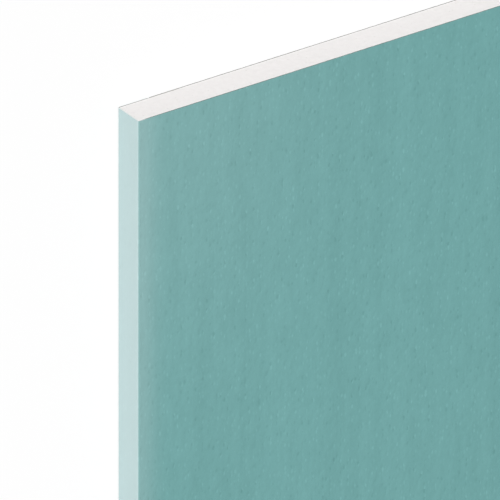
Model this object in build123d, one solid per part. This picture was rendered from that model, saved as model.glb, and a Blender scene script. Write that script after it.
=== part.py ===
from build123d import *
import os

# Square-edge drywall sheet, lying flat with its face up.
#
# A cast gypsum core is bound in two papers. The face paper covers the top, turns down round
# both long edges and folds in under the core as a flap along each. The back paper closes the
# underside between the flaps. Each flap is almost level with it and dips in under its edge, so
# that the back paper laps over the flap. The two ends are sawn square, so they show the bare
# core between the cut edges of the papers.
#
# Frame: origin at the middle of the underside, X across the width, Y along the length, Z up.
# Sizes are in millimetres.

# Overall sheet, over the papers
board_width = 1200.0
board_length = 2400.0
board_thickness = 12.5

# Papers
face_paper_thickness = 0.4
back_paper_thickness = 0.4

# Bound long edges
core_edge_radius = 0.3  # on the core's long corners, where the face paper turns over them
flap_setback = 0.1  # of a bare flap from the underside, which the back paper alone lies on
flap_reveal = 12.0  # bare strip of the flap, from the long edge to its dip
flap_dip = 1.0  # run in which the flap dips in to get under the back paper
flap_lap = 12.0  # strip of the flap that the back paper covers

# Heights of what the face paper wraps, and places across the sheet from its middle
wrap_thickness = board_thickness - flap_setback
wrap_middle = flap_setback + wrap_thickness / 2
dip_start = board_width / 2 - flap_reveal
back_reach = dip_start - flap_dip
flap_tip = back_reach - flap_lap


def wrap_outline(inset):
    """Section of the wrapped board, taken in by inset from the outside of the face paper."""
    outside_radius = core_edge_radius + face_paper_thickness
    return Pos(0, wrap_middle) * RectangleRounded(
        board_width - 2 * inset,
        wrap_thickness - 2 * inset,
        outside_radius - inset,
    )


def band(reach, low, high):
    """Section of a flat band across the sheet, from one height to another."""
    return Pos(0, (low + high) / 2) * Rectangle(2 * reach, high - low)


def back_paper_section():
    """Section of the back paper, which stops where the flaps dip in."""
    return band(back_reach, 0, back_paper_thickness)


def lapped_flaps():
    """Section of both flaps from their dip to their tip, where the back paper covers them."""
    outside = [
        (dip_start, flap_setback),
        (back_reach, back_paper_thickness),
        (flap_tip, back_paper_thickness),
    ]
    inside = [(x, z + face_paper_thickness) for x, z in reversed(outside)]
    right_flap = make_face(Polyline(outside + inside, close=True))
    return right_flap + mirror(right_flap, about=Plane.YZ)


def run_along_sheet(section):
    """Solid of a section that runs the whole length, from one sawn end to the other."""
    return extrude(Plane.XZ * section, amount=board_length / 2, both=True)


def make_gypsum_core():
    """Core that fills the wrap and comes down between the flaps to meet the back paper."""
    filled = wrap_outline(face_paper_thickness) + band(flap_tip, back_paper_thickness, wrap_middle)
    return run_along_sheet(filled - lapped_flaps() - back_paper_section())


def make_face_paper():
    """Paper over the face and both long edges, with a flap folded in under each edge."""
    wrapped = wrap_outline(0) - wrap_outline(face_paper_thickness)
    open_underside = band(dip_start, flap_setback, flap_setback + face_paper_thickness)
    return run_along_sheet(wrapped - open_underside + lapped_flaps())


def make_back_paper():
    """Flat paper under the core, lapped over the flaps and short of the long edges."""
    return run_along_sheet(back_paper_section())


pieces = {
    "gypsum_core": make_gypsum_core(),
    "face_paper": make_face_paper(),
    "back_paper": make_back_paper(),
}

os.makedirs("parts", exist_ok=True)
for node, solid in pieces.items():
    export_step(solid, f"parts/{node}.step")
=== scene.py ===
"""Looks of a square-edge drywall sheet: a gypsum core bound in two papers, lying face up.

The sheet lies on a white studio floor, and the camera looks down on the corner between its right long
edge and its near end. Lengths are in metres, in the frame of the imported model: X across the width,
Y along the length and Z up, with the origin at the middle of the underside.
"""

import logging
import math
from collections.abc import Sequence
from dataclasses import dataclass
from enum import Enum
from typing import Any, ClassVar

import bmesh
import bpy
import numpy as np
from bpy.types import ID, GeometryNodeTree, Material, Node, NodeSocket, NodeTree, Object
from mathutils import Matrix, Vector


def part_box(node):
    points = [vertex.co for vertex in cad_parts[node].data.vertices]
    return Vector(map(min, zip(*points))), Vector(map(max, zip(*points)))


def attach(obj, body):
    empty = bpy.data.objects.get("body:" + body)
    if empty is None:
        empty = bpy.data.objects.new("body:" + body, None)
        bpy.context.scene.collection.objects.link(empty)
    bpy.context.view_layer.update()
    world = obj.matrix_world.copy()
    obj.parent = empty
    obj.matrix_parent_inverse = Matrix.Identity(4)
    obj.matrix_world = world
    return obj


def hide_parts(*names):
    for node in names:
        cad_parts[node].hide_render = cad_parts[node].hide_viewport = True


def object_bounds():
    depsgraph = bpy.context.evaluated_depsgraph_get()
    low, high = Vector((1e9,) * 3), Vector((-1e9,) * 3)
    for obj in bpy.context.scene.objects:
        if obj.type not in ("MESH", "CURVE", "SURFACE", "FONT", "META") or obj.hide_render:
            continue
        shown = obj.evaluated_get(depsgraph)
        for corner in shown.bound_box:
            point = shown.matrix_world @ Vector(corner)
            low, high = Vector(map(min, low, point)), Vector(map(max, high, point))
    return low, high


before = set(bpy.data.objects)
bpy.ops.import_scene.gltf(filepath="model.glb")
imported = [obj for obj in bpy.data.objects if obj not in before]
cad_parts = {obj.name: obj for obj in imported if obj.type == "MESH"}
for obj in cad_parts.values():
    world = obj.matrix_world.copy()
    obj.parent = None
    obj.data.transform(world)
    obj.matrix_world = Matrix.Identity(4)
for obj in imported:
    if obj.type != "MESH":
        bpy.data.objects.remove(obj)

LOG = logging.getLogger("drywall_sheet")
CAD_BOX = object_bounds()
MM = 0.001

# Maps that the pieces carry: the unrolled material, in metres, and the layout that a bake draws on
FLAT_MAP = "unrolled"
BAKE_MAP = "OFBake"

# Attribute that says how rough the saw left a point, and the tree that reads it
SAWN_ATTRIBUTE = "sawn"
SAWN_TREE = "sawn_relief"

# Average of a noise, and the shade halfway from dark to light
HALFWAY = 0.5

# Left, right, bottom and top of a place on the bake map
Cell = tuple[float, float, float, float]


class End(Enum):
    """The two sawn ends of the sheet, by the sign of Y."""

    NEAR = -1.0
    FAR = 1.0


class Wear(Enum):
    """What a patch of a piece shows, by the index of its material."""

    SKIN = 0
    CUT = 1


def linear(hex_colour: str) -> tuple[float, float, float, float]:
    """Turn an sRGB colour into the linear one that shaders take.

    Args:
        hex_colour: colour as "#RRGGBB".

    Returns:
        Linear red, green, blue and an alpha of 1.
    """
    shares = [int(hex_colour[place:place + 2], 16) / 255 for place in (1, 3, 5)]
    red, green, blue = [
        share / 12.92 if share <= 0.04045 else ((share + 0.055) / 1.055) ** 2.4 for share in shares
    ]
    return red, green, blue, 1.0


def add_node(
    tree: NodeTree, kind: str, inputs: dict[str, Any] | Sequence[Any] = (), **settings: Any
) -> Node:
    """Add a node to a tree, with its settings, its values and the links that feed it.

    Args:
        tree: tree that gets the node.
        kind: the node's type, as Blender names it.
        inputs: what its inputs get, by their names or identifiers or in their own order: a value, an
            output, or a node whose first output feeds the input.
        settings: properties of the node.

    Returns:
        The new node.
    """
    node = tree.nodes.new(kind)
    for name, value in settings.items():
        setattr(node, name, value)
    sockets = [socket for socket in node.inputs if socket.enabled]
    if isinstance(inputs, dict):
        sockets = [
            next(socket for socket in sockets if key in (socket.identifier, socket.name)) for key in inputs
        ]
        inputs = list(inputs.values())
    for socket, value in zip(sockets, inputs):
        if isinstance(value, Node):
            value = next(output for output in value.outputs if output.enabled)
        if isinstance(value, NodeSocket):
            tree.links.new(value, socket)
        else:
            socket.default_value = value
    return node


def new_shader(name: str) -> tuple[Material, NodeTree]:
    """Make a material with an empty node tree.

    Args:
        name: what the material is.

    Returns:
        The material and its tree.
    """
    material = bpy.data.materials.new(name)
    material.use_nodes = True
    material.node_tree.nodes.clear()
    return material, material.node_tree


def new_object(name: str, data: ID) -> Object:
    """Put an object into the scene.

    Args:
        name: name of the object.
        data: its mesh, light or camera.

    Returns:
        The object, at the origin.
    """
    thing = bpy.data.objects.new(name, data)
    bpy.context.scene.collection.objects.link(thing)
    return thing


@dataclass(frozen=True)
class SheetSizes:
    """Sizes of the sheet, read from the frame, and the three that its boxes can't give.

    Attributes:
        half_width: from the middle to a long edge.
        half_length: from the middle to a sawn end.
        thickness: over both papers.
        face_paper: thickness of the face paper.
        back_paper: thickness of the back paper.
        back_half_width: from the middle to a long edge of the back paper.
        flap_setback: height of the bare flaps over the underside.
        core_edge_radius: on the core's long corners, under the folds of the face paper.
        flap_dip: run in which a flap dips in to get under the back paper.
        flap_lap: strip of each flap that the back paper covers.
    """

    half_width: float
    half_length: float
    thickness: float
    face_paper: float
    back_paper: float
    back_half_width: float
    flap_setback: float
    core_edge_radius: float = 0.3 * MM
    flap_dip: float = 1.0 * MM
    flap_lap: float = 12.0 * MM

    @classmethod
    def from_frame(cls) -> "SheetSizes":
        """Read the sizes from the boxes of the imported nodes.

        Returns:
            The sheet's sizes.
        """
        sheet_high = CAD_BOX[1]
        core_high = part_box("gypsum_core")[1]
        back_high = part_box("back_paper")[1]
        return cls(
            half_width=sheet_high.x,
            half_length=sheet_high.y,
            thickness=sheet_high.z,
            face_paper=sheet_high.z - core_high.z,
            back_paper=back_high.z,
            back_half_width=back_high.x,
            flap_setback=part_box("face_paper")[0].z,
        )

    @property
    def fold_radius(self) -> float:
        """Outside radius of the face paper's folds."""
        return self.core_edge_radius + self.face_paper

    @property
    def fold_x(self) -> float:
        """X at which the flat face ends and a fold begins."""
        return self.half_width - self.fold_radius

    @property
    def upper_fold_z(self) -> float:
        """Height of the upper fold's centre."""
        return self.thickness - self.fold_radius

    @property
    def lower_fold_z(self) -> float:
        """Height of the lower fold's centre."""
        return self.flap_setback + self.fold_radius

    @property
    def dip_start_x(self) -> float:
        """X at which a flap begins to dip in."""
        return self.back_half_width + self.flap_dip

    @property
    def flap_tip_x(self) -> float:
        """X of a flap's inner edge."""
        return self.back_half_width - self.flap_lap

    @property
    def fold_length(self) -> float:
        """Length of paper that goes round one fold."""
        return self.fold_radius * math.pi / 2

    @property
    def half_wrap(self) -> float:
        """Half of the paper that goes round a long edge, both folds with it."""
        return self.fold_length + (self.upper_fold_z - self.lower_fold_z) / 2

    @property
    def wrap_middle(self) -> float:
        """Place of a long edge's middle on the unrolled face paper."""
        return self.fold_x + self.half_wrap

    @property
    def flap_start(self) -> float:
        """Place on the unrolled face paper at which a flap begins, past the lower fold."""
        return self.wrap_middle + self.half_wrap


@dataclass
class Patch:
    """Rectangular patch of a piece's surface.

    Attributes:
        grid: points, as rows x columns x 3.
        cell: place of the patch on the bake map.
        flat: places on the unrolled material, as rows x columns x 2, or None for the points' X and Y.
        sawn: how rough the saw left it, from 0 to 1, as one number or as rows x columns.
        wear: what the patch shows.
    """

    grid: np.ndarray
    cell: Cell
    flat: np.ndarray | None = None
    sawn: np.ndarray | float = 0.0
    wear: Wear = Wear.SKIN

    def quads(self, start: int) -> np.ndarray:
        """List the patch's faces.

        Args:
            start: index of its first point.

        Returns:
            Four point indices for each face.
        """
        rows, columns = self.grid.shape[:2]
        index = start + np.arange(rows * columns).reshape(rows, columns)
        corners = [index[:-1, :-1], index[:-1, 1:], index[1:, 1:], index[1:, :-1]]
        return np.stack(corners, -1).reshape(-1, 4)

    def bake_places(self) -> np.ndarray:
        """Spread the patch over its cell of the bake map by its real lengths.

        Returns:
            A place on the map for each point, as points x 2.
        """
        left, right, bottom, top = self.cell
        across, along = lengths_along(self.grid[0]), lengths_along(self.grid[:, 0])
        columns = left + (right - left) * (across / across[-1])
        rows = bottom + (top - bottom) * (along / along[-1])
        return np.stack(np.meshgrid(columns, rows), -1).reshape(-1, 2)


def lengths_along(line: np.ndarray) -> np.ndarray:
    """Measure how far along a line each of its points lies.

    Args:
        line: points in order.

    Returns:
        Lengths from the first point on.
    """
    steps = np.linalg.norm(np.diff(line, axis=0), axis=1)
    return np.concatenate([[0.0], np.cumsum(steps)])


def weld_patches(name: str, patches: list[Patch], materials: list[Material]) -> Object:
    """Join patches that share their borders into one closed piece.

    Args:
        name: name of the piece.
        patches: patches that cover its whole surface.
        materials: what they wear, in the order of Wear.

    Returns:
        The piece, at the origin, with its place in its mesh.
    """
    weld_distance = 0.001 * MM
    sharp_angle = math.radians(40)

    points = np.concatenate([patch.grid.reshape(-1, 3) for patch in patches])
    starts = np.cumsum([0] + [patch.grid[..., 0].size for patch in patches])
    quads = [patch.quads(start) for patch, start in zip(patches, starts)]
    corners = np.concatenate(quads).ravel()
    mesh = bpy.data.meshes.new(name)
    mesh.from_pydata(points, [], np.concatenate(quads))

    bake = np.concatenate([patch.bake_places() for patch in patches])
    flat = np.concatenate([
        points[start:end, :2] if patch.flat is None else patch.flat.reshape(-1, 2)
        for patch, start, end in zip(patches, starts, starts[1:])
    ])
    for map_name, places in ((BAKE_MAP, bake), (FLAT_MAP, flat)):
        layer = mesh.uv_layers.new(name=map_name)
        layer.uv.foreach_set("vector", places[corners].astype(np.float32).ravel())
    sawn = np.concatenate([np.broadcast_to(patch.sawn, patch.grid.shape[:2]).ravel() for patch in patches])
    attribute = mesh.attributes.new(SAWN_ATTRIBUTE, "FLOAT", "POINT")
    attribute.data.foreach_set("value", sawn.astype(np.float32))
    wears = np.concatenate([np.full(len(faces), patch.wear.value) for patch, faces in zip(patches, quads)])
    mesh.polygons.foreach_set("material_index", wears.astype(np.int32))

    shape = bmesh.new()
    shape.from_mesh(mesh)
    bmesh.ops.remove_doubles(shape, verts=shape.verts, dist=weld_distance)
    bmesh.ops.recalc_face_normals(shape, faces=shape.faces)
    for face in shape.faces:
        face.smooth = True
    for edge in shape.edges:
        edge.smooth = edge.calc_face_angle(0.0) < sharp_angle
    shape.to_mesh(mesh)
    shape.free()
    for material in materials:
        mesh.materials.append(material)
    return new_object(name, mesh)


@dataclass(frozen=True, kw_only=True)
class MattFinish:
    """A dry, matt surface.

    Attributes:
        roughness: how far it spreads a reflection.
        specular: how strong the reflection is, where 0.5 is that of most plastics.
    """

    roughness: float = 0.9
    specular: float = 0.25

    def close(self, tree: NodeTree, colour: Node, normal: Node | None = None) -> None:
        """End a material's tree in its shader.

        Args:
            tree: the material's tree.
            colour: node that gives the surface's colour.
            normal: node that gives its bent normal, if it has one.
        """
        inputs = {"Base Color": colour, "Roughness": self.roughness, "Specular IOR Level": self.specular}
        if normal:
            inputs["Normal"] = normal
        surface = add_node(tree, "ShaderNodeBsdfPrincipled", inputs)
        add_node(tree, "ShaderNodeOutputMaterial", {"Surface": surface})


@dataclass(frozen=True)
class PulpPattern:
    """A pattern in a paper's pulp, drawn out along the sheet.

    Single fibres are too fine to show, so a pattern is drawn as coarse as it needs to show.

    Attributes:
        width: distance between its spots across the sheet.
        length: distance between its spots along the sheet.
    """

    width: float
    length: float

    def scaled(self, tree: NodeTree, place: Node) -> Node:
        """Add the node that counts a place in these distances.

        Args:
            tree: the paper's tree.
            place: node that gives the place on the unrolled map.

        Returns:
            Node that gives the scaled place.
        """
        spots_per_metre = (1 / self.width, 1 / self.length, 1.0)
        return add_node(tree, "ShaderNodeVectorMath", [place, spots_per_metre], operation="MULTIPLY")


@dataclass(frozen=True)
class Grain(PulpPattern):
    """One scale of a paper's mottle.

    Attributes:
        share: how far it moves the shade from dark to light.
        detail: number of finer scales in it.
        harshness: strength of each finer scale, as a share of the one before.
    """

    share: float
    detail: float = 3.0
    harshness: float = 0.6

    def noise(self, tree: NodeTree, place: Node) -> Node:
        """Add the nodes that draw the mottle.

        Args:
            tree: the paper's tree.
            place: node that gives the place on the unrolled map.

        Returns:
            Node whose output is about halfway from 0 to 1 on the average.
        """
        spots = self.scaled(tree, place)
        return add_node(
            tree,
            "ShaderNodeTexNoise",
            {"Vector": spots, "Scale": 1.0, "Detail": self.detail, "Roughness": self.harshness},
            noise_dimensions="2D",
        )


@dataclass(frozen=True)
class FibreSpecks(PulpPattern):
    """Single clumps of fibre scattered over a paper, lighter or darker by their dye and by painted light
    and shade.

    Attributes:
        reach: size of a clump, as a share of the distance to the next.
        raggedness: how far the finest mottle eats into its outline.
        dark_part: part of the clumps that are darker than the rest of the paper, with painted shade, and
            lie deeper.
        share: how far the strongest clumps move the shade from dark to light.
        height: how far they stand out or lie deep, as a share of the fibres' height.
    """

    reach: float = 0.32
    raggedness: float = 0.9
    dark_part: float = 0.42
    share: float = 0.56
    height: float = 0.28

    def marks(self, tree: NodeTree, place: Node, ragged: Node) -> Node:
        """Add the nodes that draw the clumps.

        Args:
            tree: the paper's tree.
            place: node that gives the place on the unrolled map.
            ragged: node that gives the finest mottle.

        Returns:
            Node whose output is 0 between clumps, above 0 in light ones and below 0 in dark ones.
        """
        spots = self.scaled(tree, place)
        cells = add_node(
            tree, "ShaderNodeTexVoronoi", {"Vector": spots, "Scale": 1.0}, voronoi_dimensions="2D"
        ).outputs
        outline = add_node(
            tree, "ShaderNodeMath", [ragged, self.raggedness, cells["Distance"]], operation="MULTIPLY_ADD"
        )
        rim = self.reach + self.raggedness * HALFWAY
        inside = add_node(
            tree,
            "ShaderNodeMapRange",
            {"Value": outline, "From Min": rim - self.reach, "From Max": rim, "To Min": 1.0, "To Max": 0.0},
            interpolation_type="SMOOTHSTEP",
        )
        dye = add_node(tree, "ShaderNodeSeparateColor", [cells["Color"]])
        centred = add_node(tree, "ShaderNodeMath", [dye, self.dark_part], operation="SUBTRACT")
        return add_node(tree, "ShaderNodeMath", [inside, centred], operation="MULTIPLY")


@dataclass(frozen=True, kw_only=True)
class PaperLiner(MattFinish):
    """Liner of pressed pulp, with its fibres along the machine.

    Attributes:
        name: what the material is.
        dark: colour where the mottle is dark, and painted shade where the fibres lie deep.
        light: colour where the mottle is light, and painted light where the fibres lie high.
        grains: its mottle, from the finest scale to the broadest.
        specks: its clumps of fibre.
        fibre_height: height of the fibres.
    """

    name: str
    dark: str
    light: str
    grains: tuple[Grain, ...]
    specks: FibreSpecks
    fibre_height: float

    def material(self, sizes: SheetSizes) -> Material:
        """Make the liner's material.

        Args:
            sizes: sizes of the sheet that it binds.

        Returns:
            The material, which reads the unrolled map.
        """
        material, tree = new_shader(self.name)
        place = add_node(tree, "ShaderNodeUVMap", uv_map=FLAT_MAP)
        noises = [grain.noise(tree, place) for grain in self.grains]
        specks = self.specks.marks(tree, place, noises[0])
        centred = [
            add_node(tree, "ShaderNodeMath", [noise, HALFWAY], operation="SUBTRACT") for noise in noises
        ]
        shade = HALFWAY
        for pattern, drawn in zip((*self.grains, self.specks), (*centred, specks)):
            shade = add_node(
                tree, "ShaderNodeMath", [drawn, pattern.share, shade], operation="MULTIPLY_ADD"
            )
        # Painted light and shade: the finest grain and the specks lighten the colour where they raise the
        # relief
        relief = add_node(
            tree, "ShaderNodeMath", [specks, self.specks.height, noises[0]], operation="MULTIPLY_ADD"
        )
        colour, strength = self.tint(tree, place, shade, sizes)
        fibres = add_node(
            tree, "ShaderNodeBump", {"Height": relief, "Distance": self.fibre_height, "Strength": strength}
        )
        self.close(tree, colour, fibres)
        return material

    def tint(
        self, tree: NodeTree, place: Node, shade: Node, sizes: SheetSizes
    ) -> tuple[Node, Node | float]:
        """Add the nodes that colour the pulp.

        Args:
            tree: the liner's tree.
            place: node that gives the place on the unrolled map.
            shade: node that gives the shade, from 0, dark, to 1, light.
            sizes: sizes of the sheet.

        Returns:
            Node that gives the colour, and the strength of the relief, from 0 to 1.
        """
        dark, light = linear(self.dark), linear(self.light)
        return add_node(tree, "ShaderNodeMix", [shade, dark, light], data_type="RGBA"), 1.0


@dataclass(frozen=True, kw_only=True)
class DyedFaceLiner(PaperLiner):
    """Face liner: pulp dyed teal and pressed smooth.

    The eye gets a matt teal with fine flecks, fibre specks and faint streaks along the sheet. A painted
    highlight makes it paler beside the folds and in the corners, and palest on the long edges.

    Attributes:
        painted_highlight_dark: colour of the painted highlight on the long edges where the fibres lie deep.
        painted_highlight_light: colour of the painted highlight on the long edges where they lie high.
        fold_highlight: strength of the painted highlight on the face beside a fold, from 0 to 1.
        fold_highlight_reach: distance from the fold in which that falls to about a third.
        corner_highlight: how much stronger the painted highlight is in the sheet's corners.
        corner_highlight_reach: distances from the fold and from the end in which that falls to about a
            third.
        fold_highlight_turn: shares of a fold's length between which the painted highlight becomes full.
        edge_smoothness: how far the press took the relief off the long edges, from 0 to 1.
    """

    name: str = "dyed_face_liner"
    dark: str = "#5E918F"
    light: str = "#7CB3B2"
    grains: tuple[Grain, ...] = (
        Grain(2.2 * MM, 3.6 * MM, 0.12, detail=2.0, harshness=0.5),
        Grain(6.0 * MM, 16.0 * MM, 0.26),
        Grain(11.0 * MM, 300.0 * MM, 0.28),
        Grain(300.0 * MM, 600.0 * MM, 0.3),
    )
    specks: FibreSpecks = FibreSpecks(1.5 * MM, 3.0 * MM)
    fibre_height: float = 0.24 * MM
    roughness: float = 0.85
    specular: float = 0.3
    # Painted highlight: pale colours for the long edges, and how strongly they wash the face beside the
    # folds and in the corners
    painted_highlight_dark: str = "#BCD3D3"
    painted_highlight_light: str = "#C6DBDC"
    fold_highlight: float = 0.18
    fold_highlight_reach: float = 6.2 * MM
    corner_highlight: float = 0.11
    corner_highlight_reach: tuple[float, float] = (70.0 * MM, 90.0 * MM)
    fold_highlight_turn: tuple[float, float] = (0.2, 0.8)
    edge_smoothness: float = 0.7

    def tint(self, tree: NodeTree, place: Node, shade: Node, sizes: SheetSizes) -> tuple[Node, Node]:
        """Add the nodes that colour the dyed pulp, with a painted highlight and smoothed relief round the
        long edges.

        Args:
            tree: the liner's tree.
            place: node that gives the place on the unrolled map.
            shade: node that gives the shade, from 0, dark, to 1, light.
            sizes: sizes of the sheet.

        Returns:
            Nodes that give the colour and the strength of the relief, from 0 to 1.
        """
        dyed, strength = super().tint(tree, place, shade, sizes)
        past_fold, past_edges = self.past_edges(tree, place, sizes)
        painted_highlight = self.painted_highlight(tree, past_fold, past_edges, sizes)
        # Painted highlight: the dyed colour is mixed towards a pale one by the highlight's strength
        dark, light = linear(self.painted_highlight_dark), linear(self.painted_highlight_light)
        pale = add_node(tree, "ShaderNodeMix", [shade, dark, light], data_type="RGBA")
        colour = add_node(tree, "ShaderNodeMix", [painted_highlight, dyed, pale], data_type="RGBA")
        pressed = add_node(
            tree, "ShaderNodeMath", [painted_highlight, -self.edge_smoothness, strength], operation="MULTIPLY_ADD"
        )
        return colour, pressed

    def past_edges(self, tree: NodeTree, place: Node, sizes: SheetSizes) -> tuple[Node, Node]:
        """Add the nodes that say how far a place lies past the edges of the flat face.

        Args:
            tree: the liner's tree.
            place: node that gives the place on the unrolled map.
            sizes: sizes of the sheet.

        Returns:
            Node whose output goes from below 0 on the flats to above 0 round a long edge, and node that
            gives the distances past the fold and the sawn end, none of them above 0.
        """
        split = add_node(tree, "ShaderNodeSeparateXYZ", [place]).outputs
        across = add_node(tree, "ShaderNodeMath", [split["X"]], operation="ABSOLUTE")
        from_middle = add_node(tree, "ShaderNodeMath", [across, sizes.wrap_middle], operation="SUBTRACT")
        distance = add_node(tree, "ShaderNodeMath", [from_middle], operation="ABSOLUTE")
        past_fold = add_node(tree, "ShaderNodeMath", [sizes.half_wrap, distance], operation="SUBTRACT")
        on_flat = add_node(tree, "ShaderNodeMath", [past_fold, 0.0], operation="MINIMUM")
        along = add_node(tree, "ShaderNodeMath", [split["Y"]], operation="ABSOLUTE")
        past_end = add_node(tree, "ShaderNodeMath", [along, sizes.half_length], operation="SUBTRACT")
        return past_fold, add_node(tree, "ShaderNodeCombineXYZ", [on_flat, past_end])

    def nearness(self, tree: NodeTree, past_edges: Node, reach: tuple[float, float]) -> Node:
        """Add the nodes that say how near a place is to the edges of the flat face.

        Args:
            tree: the liner's tree.
            past_edges: node that gives the distances past the fold and the sawn end.
            reach: distances from the fold and the sawn end in which nearness falls to about a third.

        Returns:
            Node whose output is 1 at the edges and falls towards 0.
        """
        shares = (1 / reach[0], 1 / reach[1], 0.0)
        reached = add_node(tree, "ShaderNodeVectorMath", [past_edges, shares], operation="MULTIPLY")
        squared = add_node(tree, "ShaderNodeVectorMath", [reached, reached], operation="DOT_PRODUCT")
        return add_node(tree, "ShaderNodeMath", [1 / math.e, squared.outputs["Value"]], operation="POWER")

    def painted_highlight(self, tree: NodeTree, past_fold: Node, past_edges: Node, sizes: SheetSizes) -> Node:
        """Add the nodes that say how strong the painted highlight on the liner is.

        Args:
            tree: the liner's tree.
            past_fold: node whose output is above 0 round a long edge.
            past_edges: node that gives the distances past the fold and the sawn end.
            sizes: sizes of the sheet.

        Returns:
            Node whose output goes from 0, dyed, to 1, full painted highlight.
        """
        # Painted highlight: fading in beside the folds and in the corners, full round the long edges
        fades = ((self.fold_highlight, (self.fold_highlight_reach, math.inf)), (self.corner_highlight, self.corner_highlight_reach))
        painted_highlight = 0.0
        for share, reach in fades:
            near = self.nearness(tree, past_edges, reach)
            painted_highlight = add_node(tree, "ShaderNodeMath", [near, share, painted_highlight], operation="MULTIPLY_ADD")
        start, end = (share * sizes.fold_length for share in self.fold_highlight_turn)
        edge_highlight = add_node(
            tree, "ShaderNodeMapRange", [past_fold, start, end], interpolation_type="SMOOTHSTEP"
        )
        return add_node(tree, "ShaderNodeMath", [painted_highlight, edge_highlight], operation="MAXIMUM")


@dataclass(frozen=True, kw_only=True)
class RecycledBackLiner(PaperLiner):
    """Back liner: undyed pulp of recycled paper. The eye gets a matt, flecked, warm grey."""

    name: str = "recycled_back_liner"
    dark: str = "#A6A39D"
    light: str = "#CCC9C3"
    grains: tuple[Grain, ...] = (
        Grain(1.5 * MM, 3.6 * MM, 0.25, harshness=0.7),
        Grain(6.0 * MM, 12.0 * MM, 0.25),
        Grain(14.0 * MM, 400.0 * MM, 0.2),
        Grain(200.0 * MM, 400.0 * MM, 0.3),
    )
    specks: FibreSpecks = FibreSpecks(3.0 * MM, 5.0 * MM)
    fibre_height: float = 0.3 * MM


@dataclass(frozen=True)
class ColourChange:
    """Change of a paper's colour from a place on, alike on both sides of the sheet.

    Attributes:
        start: where it begins, from the middle of the unrolled paper.
        run: length in which it is done.
        colour: the new colour.
    """

    start: float
    run: float
    colour: str


@dataclass(frozen=True, kw_only=True)
class CutPaper(MattFinish):
    """Cut edge of a paper: raw pulp that the saw has combed. The eye gets a dull, uneven line.

    Its fibres are too fine to show, so they are drawn as coarse tufts.

    Attributes:
        name: what the material is.
        colour: colour along the middle of the sheet.
        changes: its changes from there out to the edge of the unrolled paper.
        unevenness: how far the tufts darken and lighten it.
        tuft_size: size of the tufts.
        tuft_detail: number of finer scales in them.
    """

    name: str
    colour: str
    changes: tuple[ColourChange, ...] = ()
    unevenness: float = 0.10
    tuft_size: float = 1.2 * MM
    tuft_detail: float = 3.0
    roughness: float = 0.95
    specular: float = 0.2

    def material(self) -> Material:
        """Make the cut edge's material.

        Returns:
            The material, which reads the unrolled map and Object coordinates.
        """
        material, tree = new_shader(self.name)
        unrolled = add_node(tree, "ShaderNodeUVMap", uv_map=FLAT_MAP)
        split = add_node(tree, "ShaderNodeSeparateXYZ", [unrolled]).outputs
        across = add_node(tree, "ShaderNodeMath", [split["X"]], operation="ABSOLUTE")
        pulp = linear(self.colour)
        for change in self.changes:
            end = change.start + change.run
            changed = add_node(
                tree, "ShaderNodeMapRange", [across, change.start, end], interpolation_type="SMOOTHSTEP"
            )
            pulp = add_node(tree, "ShaderNodeMix", [changed, pulp, linear(change.colour)], data_type="RGBA")
        place = add_node(tree, "ShaderNodeTexCoord").outputs["Object"]
        tufts = add_node(
            tree,
            "ShaderNodeTexNoise",
            {"Vector": place, "Scale": 1 / self.tuft_size, "Detail": self.tuft_detail},
        )
        combed = add_node(
            tree,
            "ShaderNodeMapRange",
            {"Value": tufts, "To Min": 1 - self.unevenness, "To Max": 1 + self.unevenness},
        )
        self.close(tree, add_node(tree, "ShaderNodeHueSaturation", {"Color": pulp, "Value": combed}))
        return material


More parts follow.
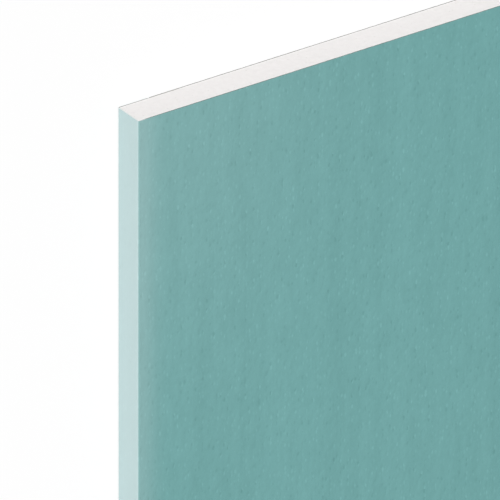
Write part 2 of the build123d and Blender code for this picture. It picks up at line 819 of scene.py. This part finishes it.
@dataclass(frozen=True, kw_only=True)
class CastGypsum(MattFinish):
    """Foamed gypsum, cast between the papers and sawn: chalky, off-white and dead matt.

    The eye gets an even off-white with faint crumbs, darker specks of painted shade in the opened air
    bubbles and a denser, whiter layer beside the papers. Its crystals are too fine to show, so the crumbs
    are drawn coarser.

    Attributes:
        crumb_dark: colour of the deeper crumbs.
        crumb_light: colour of the higher crumbs.
        crumb_size: size of the crumbs.
        crumb_detail: number of finer scales in them.
        bubble: colour of the painted shade in the opened bubbles.
        bubble_spacing: distance between the bubbles.
        bubble_shade_strength: how far that painted shade covers the crumbs in the middle of a bubble.
        bubble_shade_rim: distances from that middle, in spacings, between which the painted shade fades
            out.
        dense: colour of the layer beside the papers.
        dense_depth: depth of that layer.
    """

    crumb_dark: str = "#E7E4E3"
    crumb_light: str = "#F1EFEE"
    crumb_size: float = 1.6 * MM
    crumb_detail: float = 4.0
    bubble: str = "#DAD7D4"
    bubble_spacing: float = 2.4 * MM
    bubble_shade_strength: float = 0.6
    bubble_shade_rim: tuple[float, float] = (0.06, 0.16)
    dense: str = "#F2F1F0"
    dense_depth: float = 0.8 * MM
    roughness: float = 0.95
    specular: float = 0.2

    def material(self, sizes: SheetSizes) -> Material:
        """Make the core's material.

        Args:
            sizes: sizes of the sheet.

        Returns:
            The material, which reads Object coordinates.
        """
        material, tree = new_shader("cast_gypsum")
        place = add_node(tree, "ShaderNodeTexCoord").outputs["Object"]
        crumbs = add_node(
            tree,
            "ShaderNodeTexNoise",
            {"Vector": place, "Scale": 1 / self.crumb_size, "Detail": self.crumb_detail},
        )
        dark, light = linear(self.crumb_dark), linear(self.crumb_light)
        foam = add_node(tree, "ShaderNodeMix", [crumbs, dark, light], data_type="RGBA")
        # Painted shade: darker specks stand for the shade inside opened air bubbles
        cells = add_node(tree, "ShaderNodeTexVoronoi", {"Vector": place, "Scale": 1 / self.bubble_spacing})
        inner, outer = self.bubble_shade_rim
        opened = add_node(
            tree,
            "ShaderNodeMapRange",
            {"Value": cells, "From Min": outer, "From Max": inner, "To Max": self.bubble_shade_strength},
            interpolation_type="SMOOTHSTEP",
        )
        bubble_shaded = add_node(tree, "ShaderNodeMix", [opened, foam, linear(self.bubble)], data_type="RGBA")
        split = add_node(tree, "ShaderNodeSeparateXYZ", [place]).outputs
        height = add_node(tree, "ShaderNodeMath", [split["Z"], sizes.thickness / 2], operation="SUBTRACT")
        off_middle = add_node(tree, "ShaderNodeMath", [height], operation="ABSOLUTE")
        paper_at = sizes.thickness / 2 - sizes.face_paper
        dense_at = paper_at - self.dense_depth
        beside_paper = add_node(
            tree, "ShaderNodeMapRange", [off_middle, dense_at, paper_at], interpolation_type="SMOOTHSTEP"
        )
        dense = linear(self.dense)
        colour = add_node(tree, "ShaderNodeMix", [beside_paper, bubble_shaded, dense], data_type="RGBA")
        self.close(tree, colour)
        return material


@dataclass(frozen=True)
class SawnRelief:
    """Fine relief that the saw leaves on an end, as a Geometry Nodes tree that all pieces share.

    Attributes:
        crumb_size: width of the shallow crumbs, or of a paper's frayed tufts.
        crumb_depth: how deep they go.
        bubble_spacing: distance between the air bubbles that the saw has opened.
        bubble_depth: how deep these are.
        seed: place in the noise that the relief is taken from.
        CRUMB_LEVELS: levels of the noise at which a crumb begins and is deepest.
        BUBBLE_RIM: distances from a bubble's middle, in spacings, at which it begins and is deepest.
    """

    crumb_size: float = 3.0 * MM
    crumb_depth: float = 0.08 * MM
    bubble_spacing: float = 6.0 * MM
    bubble_depth: float = 0.12 * MM
    seed: float = 4.0
    CRUMB_LEVELS: ClassVar[tuple[float, float]] = (0.3, 0.7)
    BUBBLE_RIM: ClassVar[tuple[float, float]] = (0.4, 0.1)

    def inputs(self) -> dict[str, float]:
        """Give the tree's named inputs and their values."""
        return {
            "Crumb Size": self.crumb_size,
            "Crumb Depth": self.crumb_depth,
            "Bubble Spacing": self.bubble_spacing,
            "Bubble Depth": self.bubble_depth,
            "Seed": self.seed,
        }

    def depth(self, tree: NodeTree, given: Node, place: Node) -> Node:
        """Add the nodes that say how deep the crumbs and bubbles are.

        Args:
            tree: the relief's tree.
            given: node that gives the tree's inputs.
            place: node that gives the place.

        Returns:
            Node that gives the depth.
        """
        sizes = given.outputs
        crumbs = ("ShaderNodeTexNoise", "noise_dimensions", "Crumb Size", "Crumb Depth")
        bubbles = ("ShaderNodeTexVoronoi", "voronoi_dimensions", "Bubble Spacing", "Bubble Depth")
        total = 0.0
        hollows = ((crumbs, self.CRUMB_LEVELS), (bubbles, self.BUBBLE_RIM))
        for (kind, dimensions, size, depth), levels in hollows:
            scale = add_node(tree, "ShaderNodeMath", [1.0, sizes[size]], operation="DIVIDE")
            texture = add_node(
                tree, kind, {"Vector": place, "W": sizes["Seed"], "Scale": scale}, **{dimensions: "4D"}
            )
            hollow = add_node(
                tree, "ShaderNodeMapRange", [texture, *levels], interpolation_type="SMOOTHSTEP"
            )
            total = add_node(
                tree, "ShaderNodeMath", [hollow, sizes[depth], total], operation="MULTIPLY_ADD"
            )
        return total

    def tree(self) -> GeometryNodeTree:
        """Build the tree, which sinks the points of both ends by a rule.

        Returns:
            The tree, with an input for each size, the seed and the material.
        """
        tree = bpy.data.node_groups.new(SAWN_TREE, "GeometryNodeTree")
        sockets = tree.interface
        sockets.new_socket("Geometry", in_out="INPUT", socket_type="NodeSocketGeometry")
        for name in self.inputs():
            sockets.new_socket(name, in_out="INPUT", socket_type="NodeSocketFloat")
        sockets.new_socket("Material", in_out="INPUT", socket_type="NodeSocketMaterial")
        sockets.new_socket("Geometry", in_out="OUTPUT", socket_type="NodeSocketGeometry")

        given = add_node(tree, "NodeGroupInput")
        place = add_node(tree, "GeometryNodeInputPosition")
        sawn = add_node(tree, "GeometryNodeInputNamedAttribute", [SAWN_ATTRIBUTE], data_type="FLOAT")
        depth = self.depth(tree, given, place)
        sunk = add_node(tree, "ShaderNodeMath", [depth, sawn], operation="MULTIPLY")
        split = add_node(tree, "ShaderNodeSeparateXYZ", [place]).outputs
        outwards = add_node(tree, "ShaderNodeMath", [split["Y"]], operation="SIGN")
        step = add_node(tree, "ShaderNodeMath", [sunk, outwards], operation="MULTIPLY")
        inwards = add_node(tree, "ShaderNodeVectorMath", [(0.0, -1.0, 0.0), step], operation="SCALE")
        moved = add_node(tree, "GeometryNodeSetPosition", {"Geometry": given, "Offset": inwards})
        real = add_node(tree, "GeometryNodeRealizeInstances", [moved])
        wear = add_node(tree, "GeometryNodeInputMaterialIndex")
        on_skin = add_node(
            tree, "FunctionNodeCompare", [wear, Wear.SKIN.value], data_type="INT", operation="EQUAL"
        )
        dressed = add_node(tree, "GeometryNodeSetMaterial", [real, on_skin, given.outputs["Material"]])
        add_node(tree, "NodeGroupOutput", {"Geometry": dressed})
        return tree

    def apply(self, piece: Object, material: Material) -> None:
        """Roughen a piece's sawn ends and keep the result as its own mesh.

        Args:
            piece: piece whose sawn points carry the attribute that the tree reads.
            material: what the piece wears, apart from the cut edges of a paper.
        """
        modifier = piece.modifiers.new(SAWN_TREE, "NODES")
        modifier.node_group = bpy.data.node_groups.get(SAWN_TREE) or self.tree()
        values = {**self.inputs(), "Material": material}
        for socket in modifier.node_group.interface.items_tree:
            if socket.in_out == "INPUT" and socket.name in values:
                modifier[socket.identifier] = values[socket.name]
        evaluated = piece.evaluated_get(bpy.context.evaluated_depsgraph_get())
        mesh = bpy.data.meshes.new_from_object(evaluated)
        piece.modifiers.clear()
        piece.data = mesh


@dataclass
class SheetPiece:
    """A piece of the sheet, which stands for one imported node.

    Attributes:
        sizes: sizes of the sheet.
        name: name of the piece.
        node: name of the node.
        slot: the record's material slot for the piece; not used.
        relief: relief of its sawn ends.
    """

    sizes: SheetSizes
    name: str
    node: str
    slot: str
    relief: SawnRelief = SawnRelief()

    def patches(self) -> list[Patch]:
        """Lay out the patches that close the piece."""
        raise NotImplementedError

    def materials(self) -> list[Material]:
        """Make what the piece wears, in the order of Wear."""
        raise NotImplementedError

    def build(self) -> Object:
        """Make the piece, roughen its sawn ends and let it stand for its node.

        Returns:
            The finished piece.
        """
        materials = self.materials()
        piece = weld_patches(self.name, self.patches(), materials)
        self.relief.apply(piece, materials[Wear.SKIN.value])
        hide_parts(self.node)
        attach(piece, "root")
        return piece


@dataclass
class PaperPiece(SheetPiece):
    """A paper of the sheet: a section of even thickness that runs from one sawn end to the other.

    Attributes:
        fray_pitch: distance between the points of its sawn ends.
    """

    relief: SawnRelief = SawnRelief(crumb_size=1.5 * MM, crumb_depth=0.05 * MM, bubble_depth=0.0)
    fray_pitch: float = 0.75 * MM

    # Cells of the bake map, each pair for the near and far ends or the left and right edges
    OUTSIDE_CELL: ClassVar[Cell] = (0.01, 0.92, 0.03, 0.97)
    INSIDE_CELL: ClassVar[Cell] = (0.93, 0.97, 0.03, 0.97)
    END_CELLS: ClassVar[tuple[Cell, Cell]] = ((0.01, 0.99, 0.005, 0.02), (0.01, 0.99, 0.98, 0.995))
    EDGE_CELLS: ClassVar[tuple[Cell, Cell]] = ((0.975, 0.98, 0.03, 0.97), (0.985, 0.99, 0.03, 0.97))

    def outside(self) -> np.ndarray:
        """Give the section of the paper's outside as rows of X, Z and the outward normal's X, Z."""
        raise NotImplementedError

    def paper(self) -> float:
        """Give the paper's thickness."""
        raise NotImplementedError

    def section(self) -> tuple[np.ndarray, np.ndarray]:
        """Divide the flats of the paper's outside, so that its sawn ends can fray.

        Returns:
            Rows of X, Z and the outward normal's X, Z, and their places on the unrolled paper.
        """
        rows = self.outside()
        reached = lengths_along(rows[:, :2])
        stretches = [
            np.linspace(start, end, max(1, round((end - start) / self.fray_pitch)), endpoint=False)
            for start, end in zip(reached, reached[1:])
        ]
        places = np.concatenate(stretches + [reached[-1:]])
        divided = np.stack([np.interp(places, reached, column) for column in rows.T], -1)
        return divided, places - reached[-1] / 2

    def patches(self) -> list[Patch]:
        """Lay out the paper's two skins, its cut ends and its two long edges.

        Returns:
            Patches that close the paper, whose points all lie on its sawn ends.
        """
        section, unrolled = self.section()
        outer = section[:, :2]
        inner = outer - section[:, 2:] * self.paper()
        ends = [end.value * self.sizes.half_length for end in (End.NEAR, End.FAR)]

        def along(line: np.ndarray) -> np.ndarray:
            """Run a line of the section along the sheet."""
            return np.stack([np.insert(line, 1, y, axis=1) for y in ends])

        end_flats = [np.stack([unrolled, np.full_like(unrolled, y)], -1) for y in ends]
        skin_flat = np.stack(end_flats)
        patches = [
            Patch(along(outer), self.OUTSIDE_CELL, skin_flat, 1.0),
            Patch(along(inner), self.INSIDE_CELL, skin_flat, 1.0),
        ]
        for y, flat, cell in zip(ends, end_flats, self.END_CELLS):
            closed = np.stack([np.insert(line, 1, y, axis=1) for line in (outer, inner)])
            patches.append(Patch(closed, cell, np.stack([flat, flat]), 1.0, Wear.CUT))
        for tip, cell in zip((0, -1), self.EDGE_CELLS):
            edge = along(np.stack([outer[tip], inner[tip]]))
            patches.append(Patch(edge, cell, np.repeat(skin_flat[:, [tip]], 2, axis=1), 1.0, Wear.CUT))
        return patches


@dataclass
class FacePaper(PaperPiece):
    """The teal paper: over the face, round both long edges and in under them as flaps.

    Attributes:
        fold_steps: steps round each fold.
        flat_margin: strip beside each fold that keeps the flats flat under smooth shading.
        cut_fade: run before each fold in which the cut edge begins to pale.
    """

    fold_steps: int = 10
    flat_margin: float = 0.3 * MM
    cut_fade: float = 5.0 * MM

    def paper(self) -> float:
        """Give the face paper's thickness."""
        return self.sizes.face_paper

    def outside(self) -> np.ndarray:
        """Trace the outside of the paper from the left flap's tip to the right one's.

        Returns:
            Rows of X, Z and the outward normal's X, Z.
        """
        sizes, margin, radius = self.sizes, self.flat_margin, self.sizes.fold_radius
        turn = np.linspace(0.0, math.pi / 2, self.fold_steps + 1)
        rows = [(x, sizes.thickness, 0.0, 1.0) for x in (0.0, sizes.fold_x - margin)]
        for angle in turn:
            nx, nz = math.sin(angle), math.cos(angle)
            rows.append((sizes.fold_x + radius * nx, sizes.upper_fold_z + radius * nz, nx, nz))
        for z in (sizes.upper_fold_z - margin, sizes.lower_fold_z + margin):
            rows.append((sizes.half_width, z, 1.0, 0.0))
        for angle in turn:
            nx, nz = math.cos(angle), -math.sin(angle)
            rows.append((sizes.fold_x + radius * nx, sizes.lower_fold_z + radius * nz, nx, nz))
        for x, z in (
            (sizes.fold_x - margin, sizes.flap_setback),
            (sizes.dip_start_x, sizes.flap_setback),
            (sizes.back_half_width, sizes.back_paper),
            (sizes.flap_tip_x, sizes.back_paper),
        ):
            rows.append((x, z, 0.0, -1.0))
        right = np.array(rows)
        left = right[:0:-1] * (-1, 1, -1, 1)
        return np.concatenate([left, right])

    def materials(self) -> list[Material]:
        """Make the teal liner and its cut edge.

        Returns:
            The liner, and a cut edge that is pale round the long edges, grey on the bare flaps and chalky
            where the back paper presses them into the core.
        """
        sizes, fold = self.sizes, self.sizes.fold_length
        dip_start = sizes.flap_start + sizes.fold_x - sizes.dip_start_x
        cut = CutPaper(
            name="cut_face_liner",
            colour="#7A8882",
            changes=(
                ColourChange(sizes.fold_x - self.cut_fade, self.cut_fade + fold, "#DDE2E1"),
                ColourChange(sizes.flap_start - fold, fold, "#A4A3A1"),
                ColourChange(dip_start, sizes.flap_dip, "#E6E5E2"),
            ),
        )
        return [DyedFaceLiner().material(sizes), cut.material()]


@dataclass
class BackPaper(PaperPiece):
    """The grey paper: flat under the core and lapped over the flaps."""

    def paper(self) -> float:
        """Give the back paper's thickness."""
        return self.sizes.back_paper

    def outside(self) -> np.ndarray:
        """Give the underside, from the left long edge to the right one."""
        reach = self.sizes.back_half_width
        return np.array([(x, 0.0, 0.0, -1.0) for x in (-reach, reach)])

    def materials(self) -> list[Material]:
        """Make the grey liner and its dull cut edge."""
        cut = CutPaper(name="cut_back_liner", colour="#949391")
        return [RecycledBackLiner().material(self.sizes), cut.material()]


@dataclass
class GypsumCore(SheetPiece):
    """The cast core: it fills the wrap, comes down between the flaps and is bare at the sawn ends.

    Attributes:
        column_pitch: distance between points across a sawn end.
        rows: points through the thickness of a sawn end.
        step_run: run of the step in its underside at the tip of each flap.
        corner_steps: steps round each long corner.
        bake_bands: strips that each long, thin end is cut into on the bake map.
    """

    column_pitch: float = 1.0 * MM
    rows: int = 25
    step_run: float = 0.05 * MM
    corner_steps: int = 6
    bake_bands: int = 8

    # Places on the bake map: the bands of the ends below, and a row of the hidden sides above
    BAND_SIDES: ClassVar[tuple[float, float]] = (0.01, 0.99)
    BANDS_TOP: ClassVar[float] = 0.95
    BAND_MARGIN: ClassVar[float] = 0.004
    HIDDEN_WIDTH: ClassVar[float] = 0.23
    HIDDEN_ROW: ClassVar[tuple[float, float]] = (0.96, 0.99)

    def columns(self) -> np.ndarray:
        """Work out where the core's section begins and ends in height, from the left edge to the right.

        Returns:
            Rows of X, lowest Z and highest Z.
        """
        sizes = self.sizes
        top = sizes.thickness - sizes.face_paper

        def spread(first: float, last: float) -> np.ndarray:
            """Space columns evenly between two places."""
            return np.linspace(first, last, round((last - first) / self.column_pitch) + 1)

        over_flap = np.concatenate(
            [spread(sizes.flap_tip_x, sizes.back_half_width), spread(sizes.dip_start_x, sizes.fold_x)]
        )
        flap_top = sizes.face_paper + np.interp(
            over_flap, (sizes.back_half_width, sizes.dip_start_x), (sizes.back_paper, sizes.flap_setback)
        )
        rows = [(x, sizes.back_paper, top) for x in spread(0.0, sizes.flap_tip_x - self.step_run)]
        rows += [(x, low, top) for x, low in zip(over_flap, flap_top)]
        for angle in np.linspace(0.0, math.pi / 2, self.corner_steps + 1)[1:]:
            rise = sizes.core_edge_radius * math.cos(angle)
            x = sizes.fold_x + sizes.core_edge_radius * math.sin(angle)
            rows.append((x, sizes.lower_fold_z - rise, sizes.upper_fold_z + rise))
        right = np.array(rows)
        left = right[:0:-1] * (-1, 1, 1)
        return np.concatenate([left, right])

    def end_grid(self, columns: np.ndarray, end: End) -> np.ndarray:
        """Spread points over a sawn end.

        Args:
            columns: rows of X, lowest Z and highest Z.
            end: which end.

        Returns:
            Points as rows x columns x 3.
        """
        share = np.linspace(0.0, 1.0, self.rows)[:, None]
        x, low, high = columns.T
        z = low + share * (high - low)
        y = np.full_like(z, end.value * self.sizes.half_length)
        return np.stack([np.broadcast_to(x, z.shape), y, z], -1)

    def patches(self) -> list[Patch]:
        """Lay out the two sawn ends, in bands, and the four hidden sides.

        Returns:
            Patches that close the core, rough on its ends but not along their outlines.
        """
        columns = self.columns()
        grids = [self.end_grid(columns, end) for end in (End.NEAR, End.FAR)]
        rough = np.ones(grids[0].shape[:2])
        rough[[0, -1], :] = 0.0
        rough[:, [0, -1]] = 0.0
        band_height = self.BANDS_TOP / (2 * self.bake_bands)
        cuts = np.linspace(0, len(columns) - 1, self.bake_bands + 1).astype(int)
        patches = []
        for grid in grids:
            for first, last in zip(cuts, cuts[1:]):
                span = slice(first, last + 1)
                bottom = len(patches) * band_height
                top = bottom + band_height
                cell = (*self.BAND_SIDES, bottom + self.BAND_MARGIN, top - self.BAND_MARGIN)
                patches.append(Patch(grid[:, span], cell, sawn=rough[:, span]))
        near, far = grids
        sides = [(near[0], far[0]), (near[-1], far[-1]), (near[:, 0], far[:, 0]), (near[:, -1], far[:, -1])]
        for place, side in enumerate(sides):
            left = self.BAND_SIDES[0] + place / len(sides)
            patches.append(Patch(np.stack(side), (left, left + self.HIDDEN_WIDTH, *self.HIDDEN_ROW)))
        return patches

    def materials(self) -> list[Material]:
        """Make the gypsum."""
        return [CastGypsum().material(self.sizes)]


@dataclass(frozen=True)
class Studio:
    """White studio: a floor that keeps the sheet's shadow, an even sky and a soft lamp above and below.

    From below the floor is open, so that the underside can be seen, lit by the lower lamp.

    Attributes:
        floor_reach: from the middle of the floor to its sides.
        floor_drop: how far the floor lies under the sheet.
        floor_colour: colour of the floor.
        floor_glow: share of the floor's white that the camera sees without light or shade.
        floor_opening: height above the floor from which light still goes down through it.
        sky_strength: strength of the sky on what it lights.
        lamps_from: direction from the sheet to each lamp.
        lamp_strength: strength of a lamp, in watts per square metre.
        lamp_spread: angle that a lamp fills in the sky, in degrees.
    """

    floor_reach: float = 9.0
    floor_drop: float = 0.2 * MM
    floor_colour: str = "#FCFCFC"
    floor_glow: float = 0.75
    floor_opening: float = 1.0 * MM
    sky_strength: float = 0.45
    lamps_from: tuple[tuple[float, float, float], ...] = ((0.42, -0.42, 0.8), (-0.42, 0.42, -0.8))
    lamp_strength: float = 2.14
    lamp_spread: float = 50.0

    def build(self) -> None:
        """Set up the floor, the sky and the lamps."""
        self.make_floor()
        self.make_sky()
        for direction in self.lamps_from:
            self.hang_lamp(Vector(direction))

    def seen_directly(self, tree: NodeTree) -> Node:
        """Add the nodes that tell what the camera sees, straight, mirrored or through glass.

        Args:
            tree: tree that gets the nodes.

        Returns:
            Node whose output is 1 for such rays and 0 for others.
        """
        rays = add_node(tree, "ShaderNodeLightPath").outputs
        seen = rays["Is Camera Ray"]
        for kind in ("Is Glossy Ray", "Is Transmission Ray"):
            seen = add_node(tree, "ShaderNodeMath", [seen, rays[kind]], operation="MAXIMUM")
        return seen

    def make_floor(self) -> None:
        """Lay the floor just under the sheet."""
        mesh = bpy.data.meshes.new("studio_floor")
        reach = self.floor_reach
        corners = [(-reach, -reach), (reach, -reach), (reach, reach), (-reach, reach)]
        mesh.from_pydata([(x, y, -self.floor_drop) for x, y in corners], [], [(0, 1, 2, 3)])
        material, tree = new_shader("white_studio_floor")
        matt = add_node(tree, "ShaderNodeBsdfDiffuse", {"Color": linear(self.floor_colour)})
        white = add_node(tree, "ShaderNodeEmission", {"Strength": 1.0})
        seen = self.seen_directly(tree)
        glow = add_node(tree, "ShaderNodeMath", [seen, self.floor_glow], operation="MULTIPLY")
        laid = add_node(tree, "ShaderNodeMixShader", [glow, matt, white])
        travelled = add_node(tree, "ShaderNodeLightPath").outputs["Ray Length"]
        close_by = add_node(tree, "ShaderNodeMath", [travelled, self.floor_opening], operation="LESS_THAN")
        from_below = add_node(tree, "ShaderNodeNewGeometry").outputs["Backfacing"]
        open_to_ray = add_node(tree, "ShaderNodeMath", [close_by, from_below], operation="MAXIMUM")
        nothing = add_node(tree, "ShaderNodeBsdfTransparent")
        surface = add_node(tree, "ShaderNodeMixShader", [open_to_ray, laid, nothing])
        add_node(tree, "ShaderNodeOutputMaterial", {"Surface": surface})
        mesh.materials.append(material)
        new_object("studio_floor", mesh)

    def make_sky(self) -> None:
        """Fill the sky with even light, white where the camera sees it."""
        world = bpy.data.worlds.new("studio_sky")
        world.use_nodes = True
        tree = world.node_tree
        tree.nodes.clear()
        seen = self.seen_directly(tree)
        strength = add_node(tree, "ShaderNodeMix", [seen, self.sky_strength, 1.0], data_type="FLOAT")
        sky = add_node(tree, "ShaderNodeBackground", {"Color": (1.0, 1.0, 1.0, 1.0), "Strength": strength})
        add_node(tree, "ShaderNodeOutputWorld", {"Surface": sky})
        bpy.context.scene.world = world

    def hang_lamp(self, direction: Vector) -> None:
        """Hang a lamp far off, so that it lights the whole sheet alike.

        Args:
            direction: from the sheet to the lamp.
        """
        light = bpy.data.lights.new("soft_lamp", "SUN")
        light.energy = self.lamp_strength
        light.angle = math.radians(self.lamp_spread)
        lamp = new_object("soft_lamp", light)
        lamp.rotation_mode = "QUATERNION"
        lamp.rotation_quaternion = direction.to_track_quat("Z", "Y")


@dataclass(frozen=True)
class CornerCamera:
    """Camera that looks down on the corner of the right long edge and the near end.

    The near end points up in the picture. The lens is long, so parallel edges stay parallel.

    Attributes:
        azimuth: from the near end's side towards the right long edge's side, in degrees.
        elevation: above the face, in degrees.
        roll: anticlockwise turn of the picture, which sets the long edge upright, in degrees.
        frame_span: what the frame spans at the corner.
        frame_pixels: width of the frame.
        corner_pixel: where the corner shows in the frame, from its upper left.
        lens: focal length, in millimetres.
        sight: how far the camera sees, in distances from it to the corner.
    """

    azimuth: float = 46.5
    elevation: float = 46.19
    roll: float = 0.27
    frame_span: float = 169.9 * MM
    frame_pixels: int = 500
    corner_pixel: tuple[float, float] = (138.3, 121.5)
    lens: float = 1000.0
    sight: float = 100.0

    def build(self, sizes: SheetSizes) -> None:
        """Set up the camera and make it the scene's own.

        Args:
            sizes: sizes of the sheet.
        """
        data = bpy.data.cameras.new("corner_camera")
        data.lens = self.lens
        turn, lift = math.radians(self.azimuth), math.radians(self.elevation)
        flat = math.cos(lift)
        towards = Vector((math.sin(turn) * flat, -math.cos(turn) * flat, math.sin(lift)))
        level = Vector((0.0, -1.0, 0.0)).cross(towards).normalized()
        right = Matrix.Rotation(math.radians(self.roll), 3, towards) @ level
        up = towards.cross(right)
        corner = Vector((sizes.half_width, -sizes.half_length, sizes.thickness))
        pixel = self.frame_span / self.frame_pixels
        across, down = (place - self.frame_pixels / 2 for place in self.corner_pixel)
        aim = corner - right * across * pixel + up * down * pixel
        distance = self.frame_span * self.lens / data.sensor_width
        data.clip_end = self.sight * distance
        rotation = Matrix((right, up, towards)).transposed()
        camera = new_object("corner_camera", data)
        camera.matrix_world = Matrix.Translation(aim + towards * distance) @ rotation.to_4x4()
        bpy.context.scene.camera = camera


def main() -> None:
    """Build the sheet's pieces, the studio and the camera."""
    logging.basicConfig(level=logging.INFO, format="%(name)s: %(message)s")
    bpy.context.scene.view_settings.view_transform = "Standard"
    sizes = SheetSizes.from_frame()
    sheet = [
        GypsumCore(sizes, "gypsum_core_sawn", "gypsum_core", "gypsum"),
        FacePaper(sizes, "face_paper_wrap", "face_paper", "face_liner"),
        BackPaper(sizes, "back_paper_sheet", "back_paper", "back_liner"),
    ]
    for part in sheet:
        piece = part.build()
        LOG.info("%s stands for %s with %d faces", piece.name, part.node, len(piece.data.polygons))
    Studio().build()
    CornerCamera().build(sizes)


if __name__ == "__main__":
    main()
